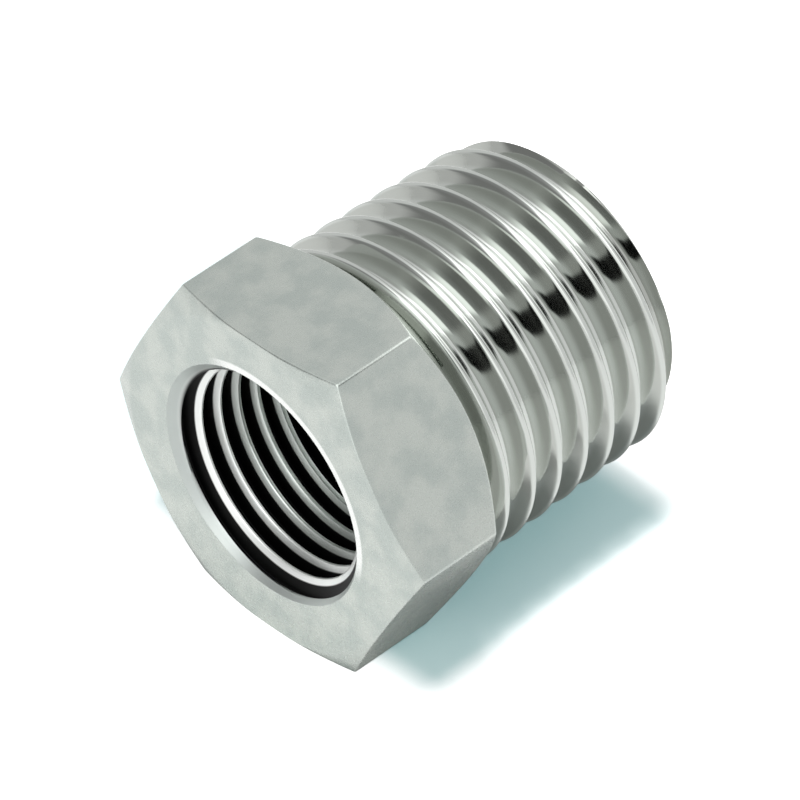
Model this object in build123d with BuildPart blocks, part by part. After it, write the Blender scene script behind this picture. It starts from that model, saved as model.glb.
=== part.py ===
from build123d import *
import math
import os

# Hex reducing bushing, turned from one length of 9/16 in hexagon stainless bar.
# It carries a 1/4-18 taper pipe thread outside. The hole through it is drilled for a 1/8-27
# taper pipe thread, whose fine crests lie on the drilled wall and aren't cut here.
# It lies on one flat of its hexagon with its axis along X. The origin is the centre of the
# hexagon's front face, where the smaller pipe screws in, and +X runs to the male thread's tip.

# Driving dimensions, in mm
inch = 25.4
across_flats = 9 / 16 * inch
hex_length = 5.2
overall_length = 15.6
bore_diameter = 11 / 32 * inch

# A cone at each end turns off the hexagon's corners. It meets the end face, or the flats, at
# the stated radius, and its slope is mm along the axis for each mm of radius.
front_cone_radius = across_flats / 2
front_cone_slope = 0.42
rear_cone_radius = 6.70
rear_cone_slope = 0.69

# Relief neck between the hexagon and the male thread
neck_width = 0.30
neck_radius = 5.72

# Male taper pipe thread: a 60 degree V on a taper of 1 in 16 on diameter, 1 in 32 on radius.
# Crests and roots have small flats, given by the height cut off the V as a share of the pitch.
pitch = inch / 18
tip_pitch_diameter = 12.126
taper = 1 / 32
flank_angle = 30
crest_cut = 0.07
root_cut = 0.04
tip_chamfer = 0.50

# Mouth and exit of the bore, both at 45 degrees
countersink_radius = 5.13
exit_chamfer = 0.20

# How far a cut runs past a face, and a ridge sinks into what carries it
past = 0.3
sunk = 0.05

taper_angle = math.degrees(math.atan(taper))
flank_slope = math.tan(math.radians(flank_angle))
half_v = pitch / flank_slope / 4
crest_height = half_v - crest_cut * pitch
root_depth = half_v - root_cut * pitch
thread_start = hex_length + neck_width
tip = overall_length
bore_radius = bore_diameter / 2
corner_radius = across_flats / math.sqrt(3) + past


def pitch_radius(x):
    """Radius of the male thread's pitch cone at x."""
    return tip_pitch_diameter / 2 + (tip - x) * taper


def crest_radius(x):
    return pitch_radius(x) + crest_height


def root_radius(x):
    return pitch_radius(x) - root_depth


def turned(*profile, mode=Mode.ADD):
    """Revolve a closed half profile of (axial, radial) points around the X axis."""
    with BuildSketch(Plane.XY) as half:
        with BuildLine():
            Polyline(*profile, close=True)
        make_face()
    revolve(half.sketch, Axis.X, mode=mode)


# Male thread: one ridge swept up a right-hand helix on the taper, from a trapezoid that stands
# on the root cone. It is cut square at the relief neck and chamfered at the tip.
with BuildPart() as male_ridge:
    ridge_start = thread_start - 0.8 * pitch
    ridge_length = tip + 0.8 * pitch - ridge_start
    with BuildLine() as helix:
        Helix(
            pitch,
            ridge_length,
            root_radius(ridge_start),
            center=(ridge_start, 0, 0),
            direction=(1, 0, 0),
            cone_angle=-taper_angle,
        )
    foot = helix.line @ 0
    outward = Vector(0, foot.Y, foot.Z).normalized()
    axial_plane = Plane(foot, x_dir=outward, z_dir=outward.cross(Vector(1, 0, 0)))
    foot_half_width = pitch / 2 + (sunk - root_cut * pitch) * flank_slope
    crest_half_width = crest_cut * pitch * flank_slope
    with BuildSketch(axial_plane):
        with BuildLine():
            Polyline(
                (-sunk, -foot_half_width),
                (crest_height + root_depth, -crest_half_width),
                (crest_height + root_depth, crest_half_width),
                (-sunk, foot_half_width),
                close=True,
            )
        make_face()
    sweep(path=helix.line, is_frenet=True)
    turned(
        (thread_start, 0),
        (thread_start, crest_radius(thread_start) + past),
        (tip - tip_chamfer - past, crest_radius(tip) + past),
        (tip, crest_radius(tip) - tip_chamfer),
        (tip, 0),
        mode=Mode.INTERSECT,
    )

with BuildPart() as hex_bushing:
    # Hexagon with its corners turned off
    with BuildSketch(Plane.YZ):
        RegularPolygon(across_flats / 2, 6, major_radius=False)
    extrude(amount=hex_length)
    turned(
        (0, 0),
        (0, front_cone_radius),
        (front_cone_slope * (corner_radius - front_cone_radius), corner_radius),
        (hex_length - rear_cone_slope * (corner_radius - rear_cone_radius), corner_radius),
        (hex_length, rear_cone_radius),
        (hex_length, 0),
        mode=Mode.INTERSECT,
    )

    # Relief neck and tapered shank, with the thread's ridge on it
    turned(
        (hex_length - past, 0),
        (hex_length - past, neck_radius),
        (thread_start, neck_radius),
        (thread_start, root_radius(thread_start)),
        (tip, root_radius(tip)),
        (tip, 0),
    )
    add(male_ridge.part)

    # Bore, with a countersunk mouth and its far edge broken
    turned(
        (-past, 0),
        (-past, countersink_radius + past),
        (countersink_radius - bore_radius, bore_radius),
        (tip - exit_chamfer, bore_radius),
        (tip + past, bore_radius + exit_chamfer + past),
        (tip + past, 0),
        mode=Mode.SUBTRACT,
    )

hex_bushing.part.label = "hex_bushing"
os.makedirs("parts", exist_ok=True)
export_step(hex_bushing.part, "parts/hex_bushing.step")
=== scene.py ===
import math

import bmesh
import bpy
from mathutils import Matrix, Vector


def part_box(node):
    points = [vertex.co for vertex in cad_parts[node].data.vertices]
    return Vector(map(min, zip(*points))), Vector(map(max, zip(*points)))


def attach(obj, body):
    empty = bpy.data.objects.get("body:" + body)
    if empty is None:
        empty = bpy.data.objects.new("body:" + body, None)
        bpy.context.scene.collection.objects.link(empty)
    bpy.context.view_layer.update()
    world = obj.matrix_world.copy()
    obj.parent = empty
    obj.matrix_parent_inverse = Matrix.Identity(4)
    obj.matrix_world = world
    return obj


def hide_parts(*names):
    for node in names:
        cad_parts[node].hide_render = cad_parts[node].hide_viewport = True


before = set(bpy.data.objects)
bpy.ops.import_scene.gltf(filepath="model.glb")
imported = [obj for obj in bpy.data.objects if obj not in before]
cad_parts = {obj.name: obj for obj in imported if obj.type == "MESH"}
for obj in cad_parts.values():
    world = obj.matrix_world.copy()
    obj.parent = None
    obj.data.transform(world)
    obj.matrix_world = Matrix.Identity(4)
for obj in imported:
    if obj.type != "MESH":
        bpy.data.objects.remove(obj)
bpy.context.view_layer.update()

# Sizes are in millimetres and are brought to metres where an object is made.
MM = 0.001
inch = 25.4
lowest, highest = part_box("hex_bushing")
across_flats = (highest.z - lowest.z) / MM
overall_length = (highest.x - lowest.x) / MM
hex_length = 5.2

# Hexagon: rounding of its corners and edges, and the cones that turn its corners off. A cone
# starts at a radius, and its slope is mm along the axis for each mm of radius.
corner_rounding = 0.16
edge_rounding = 0.07
front_cone_radius = across_flats / 2
front_cone_slope = 0.42
rear_cone_radius = 6.95
rear_cone_slope = 0.81
cone_softness = 0.10

# Relief neck behind the hexagon
neck_start = hex_length
neck_end = 5.5
neck_radius = 5.72

# Taper pipe threads: 1/4-18 outside and 1/8-27 inside, both of 60 degree form. The flats are
# shares of the pitch, at the crest and the root outside and at the root and the crest inside.
taper = 1 / 32
male_pitch = inch / 18
male_crest_at_tip = 6.575
male_flats = (0.10, 0.16)
male_rounding = (0.12, 0.20)
female_pitch = inch / 27
female_root_at_mouth = 5.114
female_flats = (0.08, 0.08)
female_rounding = (0.05, 0.05)
tip_chamfer = 0.50

# Where the outer thread's crest and the inner thread's root cross the +Y side
male_crest_x = neck_end - 1.05 * male_pitch
female_root_x = -0.28 * female_pitch

# Hole: countersunk mouth, how far the tap went, and the drilled bore behind
countersink_radius = 5.13
rim_rounding = 0.12
tapped_length = 6.4
tap_lead_length = 2.2
bore_radius = 11 / 64 * inch
exit_chamfer = 0.20

# One column of faces for each step round the axis, and how many of them round each corner of
# the hexagon. Rows of a thread stand closer at its crest (phase 0) and root (phase 0.5).
columns = 192
corner_columns = 8
thread_rows = (0, 0.025, 0.05, 0.075, 0.105, 0.15, 0.22, 0.31, 0.365, 0.405, 0.44, 0.47, 0.5)

# Roundings of small joins: along the hole's wall, at the tip's chamfer, at the bore's broken
# edge (across the flats and down the slope), and at the neck's feet on each side
wall_softness = 0.02
chamfer_softness = 0.03
exit_rounding = 0.04
exit_slope_rounding = 0.03
hexagon_foot_rounding = 0.08
thread_foot_rounding = 0.05

# Loops shared by the stretches that are drawn out towards each other
rear_seam_radius = 6.30
bore_seam = 9.2
lead_end = 8.9
mouth_start = 0.02

# Loops that only keep the faces even, and those on each side of where a cone starts
tip_face_radius = 5.3
plain_bore_stations = (14.0, 12.0, 10.0)
front_even_radius = 6.6
front_gathered_radius = 6.75
cone_steps = (-0.10, -0.03, 0.03, 0.10)

# Points closer than weld are one, a hair tells a face on an end from one past it, and edges
# that turn more than sharp_angle stay sharp.
weld = 1e-4
hair = 1e-3
sharp_angle = math.radians(40)

# Places of the finishes on the bushing
HEXAGON, THREAD, HOLE = 0, 1, 2

# Colours of the backdrop, of the table and of the shadow painted on it
white = (1.0, 1.0, 1.0)
table_colour = (0.9, 0.9, 0.9)
shadow_colour = (0.11, 0.24, 0.25)


# Camera ------------------------------------------------------------------------------------

def make_camera():
    """A long lens from the front left and above, with the axis running up to the right."""
    azimuth, elevation, roll = (math.radians(a) for a in (41.90, 41.37, -3.12))
    distance = 330.0
    focal_pixels = 8809.27
    picture = 800
    aim = Vector((8.0, 0.0, 0.0))
    # How far the aim stands from the middle of the picture, in pixels
    aim_right, aim_down = 15.9, -18.12
    forward = Vector((math.sin(azimuth) * math.cos(elevation),
                      math.cos(azimuth) * math.cos(elevation), -math.sin(elevation)))
    level_right = Vector((math.cos(azimuth), -math.sin(azimuth), 0.0))
    level_down = forward.cross(level_right)
    right = math.cos(roll) * level_right - math.sin(roll) * level_down
    down = math.sin(roll) * level_right + math.cos(roll) * level_down
    aside = (right * aim_right + down * aim_down) * distance / focal_pixels
    place = aim - forward * distance - aside
    camera = bpy.data.objects.new("camera", bpy.data.cameras.new("camera"))
    bpy.context.scene.collection.objects.link(camera)
    turn = Matrix((right, -down, -forward)).transposed()
    camera.matrix_world = Matrix.Translation(place * MM) @ turn.to_4x4()
    camera.data.sensor_width = 36.0
    camera.data.lens = focal_pixels / picture * camera.data.sensor_width
    camera.data.clip_start = 0.01
    bpy.context.scene.camera = camera


make_camera()


# Shape -------------------------------------------------------------------------------------

def soft_ramp(distance, softness):
    """Nought below zero and the distance itself above, with a join rounded within softness."""
    if abs(distance) >= softness:
        return max(distance, 0.0)
    return (distance + softness) ** 2 / (4 * softness)


def soft_least(a, b, softness):
    return a - soft_ramp(a - b, softness)


def soft_most(a, b, softness):
    return b + soft_ramp(a - b, softness)


def v_depth(pitch, flats, rounding, crest_x, x, angle):
    """How far a right-hand 60 degree thread lies below its crest, at x and at an angle round
    the axis. Its crest and root have flats, given as shares of the pitch, with rounded sides.
    A crest crosses the +Y side at crest_x."""
    phase = ((x - crest_x) / pitch - angle / math.tau) % 1.0
    off_crest = min(phase, 1 - phase)
    flank = math.sqrt(3) * pitch
    crest_flat, root_flat = flats
    depth = soft_ramp((off_crest - crest_flat / 2) * flank, rounding[0])
    return soft_least(depth, (0.5 - crest_flat / 2 - root_flat / 2) * flank, rounding[1])


def male_radius(x, angle):
    """Radius of the outer thread, chamfered at the tip."""
    thread = (male_crest_at_tip + (overall_length - x) * taper
              - v_depth(male_pitch, male_flats, male_rounding, male_crest_x, x, angle))
    chamfer = male_crest_at_tip - tip_chamfer + (overall_length - x)
    return soft_least(thread, chamfer, chamfer_softness)


def bore_wall_radius(x, angle):
    """Radius of the tapped hole: its groove fades out with the tap's lead, its crests lie on
    the drilled wall, and the mouth is countersunk."""
    deepest = female_root_at_mouth - x * taper
    thread = deepest - v_depth(female_pitch, female_flats, female_rounding, female_root_x, x, angle)
    sinks_to = bore_radius - 0.1
    into_lead = max(0.0, x - tapped_length) / tap_lead_length
    lead = deepest - into_lead * (deepest - sinks_to)
    wall = soft_most(soft_least(thread, lead, wall_softness), bore_radius, wall_softness)
    return soft_most(wall, countersink_radius - x, wall_softness)


def wind(bm, pitch, crest_x, start, end, radius_at):
    """Wind one pitch of a straight row of points once round the axis with the pitch's rise,
    repeat that turn, and settle each point on the wall. What lies past the ends is drawn in
    to them."""
    turns_early = 2
    first = crest_x + (math.floor((start - crest_x) / pitch) - turns_early) * pitch
    turns = math.ceil((end - first) / pitch) + 1
    phases = thread_rows + tuple(1 - phase for phase in reversed(thread_rows[:-1]))
    row = [bm.verts.new((first + phase * pitch, 1.0, 0.0)) for phase in phases]
    edges = [bm.edges.new(pair) for pair in zip(row, row[1:])]
    bmesh.ops.spin(bm, geom=row + edges, cent=(0, 0, 0), axis=(1, 0, 0), angle=math.tau,
                   steps=columns, dvec=(pitch / columns, 0, 0))
    turn = [g for g in bm.verts[:] + bm.edges[:] + bm.faces[:] if not g.tag]
    wound = [g for g in turn if isinstance(g, bmesh.types.BMVert)]
    for k in range(1, turns):
        copy = bmesh.ops.duplicate(bm, geom=turn)["geom"]
        copied = [g for g in copy if isinstance(g, bmesh.types.BMVert)]
        bmesh.ops.translate(bm, verts=copied, vec=(k * pitch, 0, 0))
        wound += copied
    for vert in wound:
        angle = math.atan2(vert.co.z, vert.co.y)
        x = min(max(vert.co.x, start), end)
        radius = radius_at(x, angle)
        vert.co = (x, radius * math.cos(angle), radius * math.sin(angle))
    bmesh.ops.remove_doubles(bm, verts=wound, dist=weld)


def rim(bm, x):
    """The open edges that lie at x."""
    return [e for e in bm.edges if e.is_boundary and all(abs(v.co.x - x) < weld for v in e.verts)]


def draw_out(bm, edges, station):
    """Extrude a closed row of edges. A station gives x, radius and angle from an angle."""
    made = bmesh.ops.extrude_edge_only(bm, edges=edges)["geom"]
    for vert in (g for g in made if isinstance(g, bmesh.types.BMVert)):
        x, radius, angle = station(math.atan2(vert.co.z, vert.co.y))
        vert.co = (x, radius * math.cos(angle), radius * math.sin(angle))
    return [g for g in made if isinstance(g, bmesh.types.BMEdge) and g.is_boundary]


def turn_on(bm, edges, *circles):
    """Go on from a row of edges through circles of the given (x, radius)."""
    for x, radius in circles:
        edges = draw_out(bm, edges, lambda angle: (x, radius, angle))
    return edges


def rounded(before, corner, after, steps=4):
    """The (x, radius) points of a rounded corner between two points."""
    shares = [k / steps for k in range(steps + 1)]
    return [tuple((1 - s) ** 2 * a + 2 * s * (1 - s) * b + s ** 2 * c
                  for a, b, c in zip(before, corner, after)) for s in shares]


# The hexagon's outline: a corner on +Y and every 60 degrees, each a small arc round a centre
sixth = math.tau / 6
corner_centre = (across_flats / 2 - corner_rounding) / math.cos(sixth / 2)


def outline_radius(angle):
    off_corner = abs((angle + sixth / 2) % sixth - sixth / 2)
    aside = corner_centre * math.sin(off_corner)
    flat = across_flats / 2 / math.cos(sixth / 2 - off_corner)
    if aside >= corner_rounding / 2:
        return flat
    arc = corner_centre * math.cos(off_corner) + math.sqrt(corner_rounding ** 2 - aside ** 2)
    return min(flat, arc)


def gathered(angle):
    """The angle that an even column takes on the hexagon, where columns gather at corners."""
    from_corner = (angle + sixth / 2) % sixth - sixth / 2
    share = abs(from_corner) / (sixth / 2)
    corner_share = corner_columns * 6 / columns
    bend = min(share / corner_share, 1.0) * sixth / 2
    along = max(0.0, (share - corner_share) / (1 - corner_share))
    arc_y = corner_centre + corner_rounding * math.cos(bend)
    arc_z = corner_rounding * math.sin(bend)
    mid_y = across_flats / 2 * math.cos(sixth / 2)
    mid_z = across_flats / 2 * math.sin(sixth / 2)
    off = math.atan2(arc_z + along * (mid_z - arc_z), arc_y + along * (mid_y - arc_y))
    return angle - from_corner + math.copysign(off, from_corner)


def front_face_x(radius):
    return front_cone_slope * soft_ramp(radius - front_cone_radius, cone_softness)


def rear_face_x(radius):
    return hex_length - rear_cone_slope * soft_ramp(radius - rear_cone_radius, cone_softness)


def hexagon_stations():
    """Stations round the hexagon, from its front face out over the flats to its rear face.
    Each gives x and radius for the outline's radius at a column."""
    def on_face(face_x, radius_at):
        return lambda outline: (face_x(radius_at(outline)), radius_at(outline))

    def on_edge(face_x, towards, k):
        def place(outline):
            inner = outline - edge_rounding
            ends = ((face_x(inner), inner), (face_x(outline), outline),
                    (face_x(outline) + towards * edge_rounding, outline))
            return rounded(*ends)[k]
        return place

    least_gap = 0.01
    stations = []
    for n, step in enumerate(cone_steps):
        gap = edge_rounding + least_gap * (len(cone_steps) - n)
        stations.append(on_face(front_face_x, lambda outline, step=step, gap=gap:
                                min(front_cone_radius + step, outline - gap)))
    stations += [on_edge(front_face_x, 1, k) for k in range(5)]
    stations += [on_edge(rear_face_x, -1, k) for k in reversed(range(5))]
    stations += [on_face(rear_face_x, lambda outline, step=step: rear_cone_radius + step)
                 for step in reversed(cone_steps)]
    return stations


def turn_bushing():
    """The whole bushing as one closed skin."""
    bm = bmesh.new()
    wind(bm, male_pitch, male_crest_x, neck_end, overall_length, male_radius)
    for g in bm.verts[:] + bm.edges[:] + bm.faces[:]:
        g.tag = True
    wind(bm, female_pitch, female_root_x, mouth_start, lead_end, bore_wall_radius)

    # Tip face, and the bore from its broken edge inwards
    tip, exit_start = overall_length, overall_length - exit_chamfer
    exit_radius = bore_radius + exit_chamfer
    outer_break = rounded((tip, exit_radius + exit_rounding), (tip, exit_radius),
                          (tip - exit_slope_rounding, exit_radius - exit_slope_rounding))
    inner_break = rounded((exit_start + exit_slope_rounding, bore_radius + exit_slope_rounding),
                          (exit_start, bore_radius), (exit_start - exit_rounding, bore_radius))
    edges = turn_on(bm, rim(bm, tip), (tip, tip_face_radius), (tip, exit_radius + 0.1))
    edges = turn_on(bm, edges, *outer_break, *inner_break)
    turn_on(bm, edges, *((x, bore_radius) for x in (*plain_bore_stations, bore_seam)))
    turn_on(bm, rim(bm, lead_end), (bore_seam, bore_radius))

    # Relief neck, and the rear face out to the seam
    thread_foot = rounded((neck_end, neck_radius + 0.02), (neck_end, neck_radius),
                          (neck_end - thread_foot_rounding, neck_radius), steps=2)
    hexagon_foot = rounded((neck_start + hexagon_foot_rounding, neck_radius),
                           (neck_start, neck_radius),
                           (neck_start, neck_radius + hexagon_foot_rounding))
    edges = turn_on(bm, rim(bm, neck_end), (neck_end, neck_radius + 0.03), *thread_foot[1:])
    edges = turn_on(bm, edges, *hexagon_foot, (neck_start, rear_seam_radius - 0.1))
    draw_out(bm, edges, lambda angle: (neck_start, rear_seam_radius, gathered(angle)))

    # Mouth, front face, hexagon and rear face in to the seam
    first_step = 0.9 * mouth_start
    mouth_edge = rounded((first_step, countersink_radius - first_step),
                         (0, countersink_radius), (0, countersink_radius + rim_rounding))
    edges = turn_on(bm, rim(bm, mouth_start), *mouth_edge)
    edges = turn_on(bm, edges, (0, countersink_radius + 0.2), (0, front_even_radius))
    edges = draw_out(bm, edges, lambda angle: (0, front_gathered_radius, gathered(angle)))
    for station in hexagon_stations():
        edges = draw_out(bm, edges, lambda angle: (*station(outline_radius(angle)), angle))
    draw_out(bm, edges, lambda angle: (hex_length, rear_seam_radius, angle))

    bmesh.ops.remove_doubles(bm, verts=bm.verts, dist=weld)
    bmesh.ops.recalc_face_normals(bm, faces=bm.faces)
    return bm


def make_bushing():
    """The bushing as an object, with the hexagon, the hole, and what is cut on the shank told
    apart. The cone behind the hexagon counts with the shank."""
    bm = turn_bushing()
    for face in bm.faces:
        centre = face.calc_center_median()
        off_axis = math.hypot(centre.y, centre.z)
        between_ends = hair < centre.x < overall_length - hair
        on_rear_cone = face.normal.x > 0.4 and off_axis > rear_seam_radius
        if between_ends and off_axis < countersink_radius - centre.x * taper:
            face.material_index = HOLE
        elif centre.x > hex_length + hair or on_rear_cone:
            face.material_index = THREAD
        else:
            face.material_index = HEXAGON
        face.smooth = True
    bmesh.ops.scale(bm, verts=bm.verts, vec=(MM, MM, MM))
    mesh = bpy.data.meshes.new("bushing")
    bm.to_mesh(mesh)
    bm.free()
    mesh.set_sharp_from_angle(angle=sharp_angle)
    piece = bpy.data.objects.new("bushing", mesh)
    bpy.context.scene.collection.objects.link(piece)
    return piece


# Materials ---------------------------------------------------------------------------------

class Shade:
    """What a node gives, with Python's operators for shader maths."""

    def __init__(self, recipe, socket):
        self.recipe = recipe
        self.socket = socket

    def maths(self, operation, *terms):
        return self.recipe.node("ShaderNodeMath", {"operation": operation}, dict(enumerate(terms)))

    def other(self, output):
        """Another output of the same node."""
        return Shade(self.recipe, self.socket.node.outputs[output])

    def __add__(self, other):
        return self.maths("ADD", self, other)

    def __radd__(self, other):
        return self.maths("ADD", other, self)

    def __sub__(self, other):
        return self.maths("SUBTRACT", self, other)

    def __rsub__(self, other):
        return self.maths("SUBTRACT", other, self)

    def __mul__(self, other):
        return self.maths("MULTIPLY", self, other)

    def __rmul__(self, other):
        return self.maths("MULTIPLY", other, self)

    def __truediv__(self, other):
        return self.maths("DIVIDE", self, other)


class Recipe:
    """The nodes of one material, or of the world."""

    def __init__(self, tree):
        self.tree = tree
        tree.nodes.clear()

    def node(self, kind, settings=None, sockets=None, output=0):
        """Add a node with its settings, and then its sockets' values or links. Gives what
        leaves one of its outputs."""
        made = self.tree.nodes.new(kind)
        for name, setting in (settings or {}).items():
            setattr(made, name, setting)
        for slot, value in (sockets or {}).items():
            if isinstance(value, Shade):
                self.tree.links.new(value.socket, made.inputs[slot])
            else:
                made.inputs[slot].default_value = value
        return Shade(self, made.outputs[output]) if made.outputs else None

    def step(self, value, start, end):
        """Nought below start, one above end, and smooth between."""
        sockets = {"Value": value, "From Min": start, "From Max": end}
        return self.node("ShaderNodeMapRange", {"interpolation_type": "SMOOTHSTEP"}, sockets)

    def between(self, value, start, full, fading, end):
        """One from full to fading, nought outside start and end, and smooth between."""
        return self.step(value, start, full) * (1 - self.step(value, fading, end))

    def blend(self, share, first, second):
        """From the first colour to the second, which a Mix node takes in sockets 6 and 7 and
        gives in output 2."""
        first, second = (c if isinstance(c, Shade) else (*c, 1.0) for c in (first, second))
        return self.node("ShaderNodeMix", {"data_type": "RGBA"}, {0: share, 6: first, 7: second}, 2)

    def place(self, stretch=(1, 1, 1)):
        """The place on the object, in millimetres, stretched."""
        point = self.node("ShaderNodeTexCoord", output="Object")
        scale = tuple(axis / MM for axis in stretch)
        return self.node("ShaderNodeVectorMath", {"operation": "MULTIPLY"}, {0: point, 1: scale})

    def off_axis(self):
        """The place along the axis and its distance from the axis, in millimetres."""
        x = self.node("ShaderNodeSeparateXYZ", sockets={0: self.place()})
        y, z = x.other("Y"), x.other("Z")
        return x, self.node("ShaderNodeMath", {"operation": "SQRT"}, {0: y * y + z * z})

    def noise(self, point, scale, detail):
        sockets = {"Vector": point, "Scale": scale, "Detail": detail}
        return self.node("ShaderNodeTexNoise", {}, sockets, "Fac")

    def lines(self, *measures):
        """Noise that changes only with the given measures, as tool marks do."""
        point = self.node("ShaderNodeCombineXYZ", sockets=dict(enumerate(measures)))
        return self.noise(point, 1.0, 2.0)

    def bump(self, height, strength, depth):
        """A normal from a height of nought to one, whose full depth is in millimetres."""
        sockets = {"Strength": strength, "Distance": depth * MM, "Height": height}
        return self.node("ShaderNodeBump", {}, sockets, "Normal")

    def surface(self, shader):
        self.node("ShaderNodeOutputMaterial", {}, {"Surface": shader})

    def metal(self, colour, roughness, normal):
        """Finish the recipe as bare metal."""
        sockets = {"Metallic": 1.0, "Base Color": colour, "Roughness": roughness, "Normal": normal}
        self.surface(self.node("ShaderNodeBsdfPrincipled", {}, sockets, "BSDF"))


def new_material(name):
    material = bpy.data.materials.new(name)
    material.use_nodes = True
    return material, Recipe(material.node_tree)


def satin_hexagon():
    """Drawn and turned stainless: faint blotches, a fine grain, lines drawn along the bar, rings
    on the turned face, and a painted highlight along the mouth's edge on its upper right."""
    material, recipe = new_material("satin_hexagon")
    x, radius = recipe.off_axis()
    blotches = recipe.noise(recipe.place(), 0.8, 4.0)
    grain = recipe.noise(recipe.place(), 9.0, 3.0)
    along_bar = recipe.noise(recipe.place((0.25, 3.0, 3.0)), 2.0, 3.0)
    round_face = recipe.lines(radius * 6.0)
    on_face = 1 - recipe.step(x, 0.02, 0.05)
    marks = along_bar * (1 - on_face) + round_face * on_face

    duller_tone_and_painted_shade, paler, bright_tone_and_painted_highlight = (0.515, 0.565, 0.535), (0.605, 0.645, 0.605), (0.95, 0.97, 0.95)
    colour = recipe.blend(recipe.step(blotches, 0.35, 0.65), duller_tone_and_painted_shade, paler)
    # Painted highlight: the mouth's edge is painted near white on its upper right, where light
    # catches it.
    beside_mouth = 1 - recipe.step(radius, countersink_radius + 0.24, countersink_radius + 0.34)
    towards_z = math.cos(math.radians(40))
    towards_y = -math.sin(math.radians(40))
    towards_rim_highlight = (towards_z * x.other("Z") + towards_y * x.other("Y")) / radius
    rim_highlight = beside_mouth * recipe.step(towards_rim_highlight, 0.35, 0.60)
    colour = recipe.blend(rim_highlight, colour, bright_tone_and_painted_highlight)

    normal = recipe.bump(0.6 * grain + 0.4 * marks + 1.5 * blotches, strength=0.35, depth=0.02)
    recipe.metal(colour, 0.22 + 0.12 * grain, normal)
    return material


def cut_thread():
    """Threaded stainless, with painted shade: the flanks and the chamfer at the tip are painted
    darker than the crests and roots, for the shade between the turns and along the tip."""
    material, recipe = new_material("cut_thread")
    x, radius = recipe.off_axis()
    below_crest = male_crest_at_tip + (overall_length - x) * taper - radius
    # Painted shade: the flanks and the tip's chamfer take the darker colour, for shade between the
    # turns and along the tip; the crests and roots keep the brighter one.
    flank_painted_shade = recipe.between(below_crest, 0.043, 0.155, 0.43, 0.731)
    chamfer_painted_shade = recipe.step(x, overall_length - 0.55, overall_length - 0.46)

    bright_tone_and_painted_highlight, duller_tone_and_painted_shade = (0.66, 0.69, 0.66), (0.50, 0.52, 0.49)
    colour = recipe.blend(flank_painted_shade.maths("MAXIMUM", flank_painted_shade, chamfer_painted_shade), bright_tone_and_painted_highlight, duller_tone_and_painted_shade)
    tool_lines = recipe.lines(x * 14.0, radius * 14.0)
    waves = recipe.noise(recipe.place((1.0, 0.6, 0.6)), 1.4, 2.0)
    recipe.metal(colour, 0.06 + 0.04 * tool_lines, recipe.bump(waves, strength=0.04, depth=0.02))
    return material


def tapped_hole():
    """The hole, with painted light and shade: its crests painted bright near the mouth and dimmer
    deeper in, as the light reaching in falls off, and its roots painted black for the shade deep in
    the grooves. The mouth and the plain bore have no painted black."""
    material, recipe = new_material("tapped_hole")
    x, radius = recipe.off_axis()
    deepest = female_root_at_mouth - taper * x - bore_radius
    share_of_depth = (radius - bore_radius) / deepest
    past_mouth = recipe.step(x, 0.25, 0.45)
    tapped = past_mouth * (1 - recipe.step(x, lead_end, bore_seam))
    # Painted shade: the roots of the tapped stretch are painted black, where shade falls deep in
    # the grooves.
    root = recipe.step(share_of_depth, 0.33, 0.41) * tapped

    # Painted light: the crests are painted near white at the mouth and dimmer deeper in, as the
    # light reaching into the hole falls off.
    crests_painted_lit, crests_painted_dimmer = (0.96, 0.98, 0.96), (0.72, 0.76, 0.73)
    mouth_satin, painted_root_shade = (0.52, 0.56, 0.54), (0.012, 0.012, 0.012)
    colour = recipe.blend(recipe.step(x, 1.6, 3.0), crests_painted_lit, crests_painted_dimmer)
    colour = recipe.blend(root, colour, painted_root_shade)
    colour = recipe.blend(past_mouth, mouth_satin, colour)
    tool_lines = recipe.lines(x * 14.0, radius * 14.0)
    normal = recipe.bump(tool_lines, strength=0.2, depth=0.004)
    recipe.metal(colour, 0.36 + 0.08 * tool_lines, normal)
    return material


# Stage -------------------------------------------------------------------------------------

def make_floor():
    """A pale table, which glows for the camera: white all round, which washes out the lamp's
    shadow there, and a cool grey over a painted patch of shadow next to the bushing, where the
    lamp's shadow shows. The metal shows a tenth of that glow over the paint."""
    material, recipe = new_material("white_table")
    camera_ray = recipe.node("ShaderNodeLightPath", output="Is Camera Ray")
    in_metal = camera_ray.other("Is Glossy Ray") + camera_ray.other("Is Transmission Ray")
    x = recipe.node("ShaderNodeSeparateXYZ", sockets={0: recipe.place()})
    # Painted shadow: the glow is cool grey in this patch next to the bushing and white outside it,
    # so the painted patch, not the lamp, sets where the shadow shows.
    painted_shadow_patch = recipe.between(x, 0.6, 2.6, 14.0, 17.0) * recipe.step(x.other("Y"), -8.0, -6.2)
    paint = recipe.node("ShaderNodeBsdfDiffuse", sockets={"Color": (*table_colour, 1.0)})
    glow = recipe.node("ShaderNodeEmission", sockets={
        "Color": recipe.blend(painted_shadow_patch, white, shadow_colour),
        "Strength": camera_ray + 0.1 * in_metal})
    recipe.surface(recipe.node("ShaderNodeAddShader", sockets={0: paint, 1: glow}))

    reach = 160.0
    bm = bmesh.new()
    bmesh.ops.create_circle(bm, cap_ends=True, segments=48, radius=reach * MM)
    bmesh.ops.translate(bm, verts=bm.verts, vec=(0, 0, lowest.z))
    mesh = bpy.data.meshes.new("floor")
    bm.to_mesh(mesh)
    bm.free()
    floor = bpy.data.objects.new("floor", mesh)
    bpy.context.scene.collection.objects.link(floor)
    mesh.materials.append(material)


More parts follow.
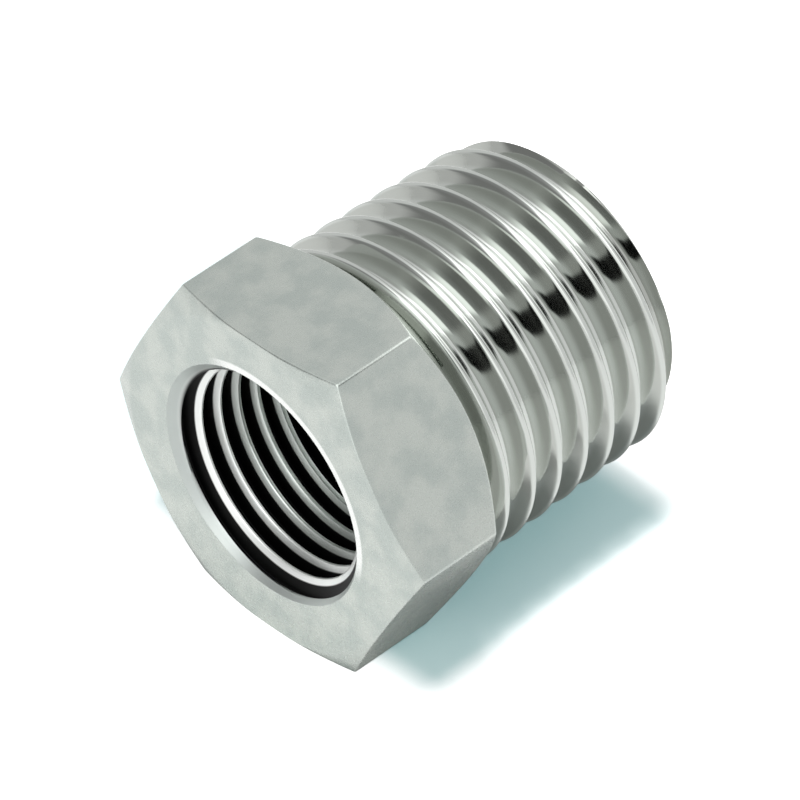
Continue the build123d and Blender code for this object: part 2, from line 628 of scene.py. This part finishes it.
def make_lamp(name, place, aim, size, power):
    """A soft lamp that lights the table, and doesn't show in the metal."""
    lamp = bpy.data.lights.new(name, "AREA")
    lamp.shape = "RECTANGLE"
    lamp.size, lamp.size_y = (side * MM for side in size)
    lamp.energy = power
    shone = bpy.data.objects.new(name, lamp)
    bpy.context.scene.collection.objects.link(shone)
    back = (Vector(place) - Vector(aim)).normalized()
    up = back.cross(Vector((1, 0, 0))).normalized()
    turn = Matrix((up.cross(back), up, back)).transposed().to_4x4()
    shone.matrix_world = Matrix.Translation(Vector(place) * MM) @ turn
    shone.visible_glossy = False


def make_world():
    """White behind everything, and the soft room that the metal shows, painted by direction:
    even walls, a broad light overhead with a darker band in it, and a narrow dark gap."""
    world = bpy.data.worlds.new("studio")
    bpy.context.scene.world = world
    world.use_nodes = True
    recipe = Recipe(world.node_tree)
    direction = recipe.node("ShaderNodeTexCoord", output="Generated")
    x = recipe.node("ShaderNodeSeparateXYZ", sockets={0: direction})
    y, z = x.other("Y"), x.other("Z")

    # From the camera, the thread's flat crests and roots show what lies past this edge, and its
    # flanks what lies short of it, so that the band and the gap lie on the flanks alone.
    on_flanks = 1 - recipe.step(x, 0.505, 0.525)
    band_start = 0.325 - 0.2 * y - 0.13 * y * y
    band = recipe.step(x - band_start, -0.02, 0.02) * on_flanks
    overhead = recipe.between(y, -0.46, -0.34, 0.05, 0.42) * recipe.step(z, 0.25, 0.45)
    gap = recipe.between(y, -0.80, -0.76, -0.60, -0.55) * recipe.step(z, 0.2, 0.3)
    gap = gap * recipe.step(x, -0.1, 0.3) * on_flanks

    # Walls: a darker corner at the left, a paler front, and a slightly darker far side
    left = (1 - recipe.step(x, -0.6, -0.4)) * recipe.step(y, 0.08, 0.22) * recipe.step(z, 0.0, 0.1)
    front = (1 - recipe.step(x, -0.85, -0.65)) * (1 - left)
    far_side = recipe.step(y, 0.42, 0.52)
    walls = 0.8 - 0.08 * far_side + 0.5 * front
    level = (walls + overhead * (1.1 - 1.52 * band)) * (1 - gap) * (1 - 0.6 * left)

    # The table takes a quarter of the room's light, so that the lamp's shadow shows on it.
    camera_ray = recipe.node("ShaderNodeLightPath", output="Is Camera Ray")
    fill = 1 - 0.75 * camera_ray.other("Is Diffuse Ray")
    room = recipe.node("ShaderNodeBackground", sockets={"Color": level * fill})
    backdrop = recipe.node("ShaderNodeBackground", sockets={"Color": (*white, 1.0)})
    seen = recipe.node("ShaderNodeMixShader", sockets={0: camera_ray, 1: room, 2: backdrop})
    recipe.node("ShaderNodeOutputWorld", sockets={"Surface": seen})


bushing = make_bushing()
for finish in (satin_hexagon, cut_thread, tapped_hole):
    bushing.data.materials.append(finish())
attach(bushing, "root")
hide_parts("hex_bushing")
make_floor()
make_world()
make_lamp("overhead", place=(-20, -4, 260), aim=(8, 0, 0), size=(140, 28), power=0.53)
bpy.context.scene.view_settings.view_transform = "Standard"
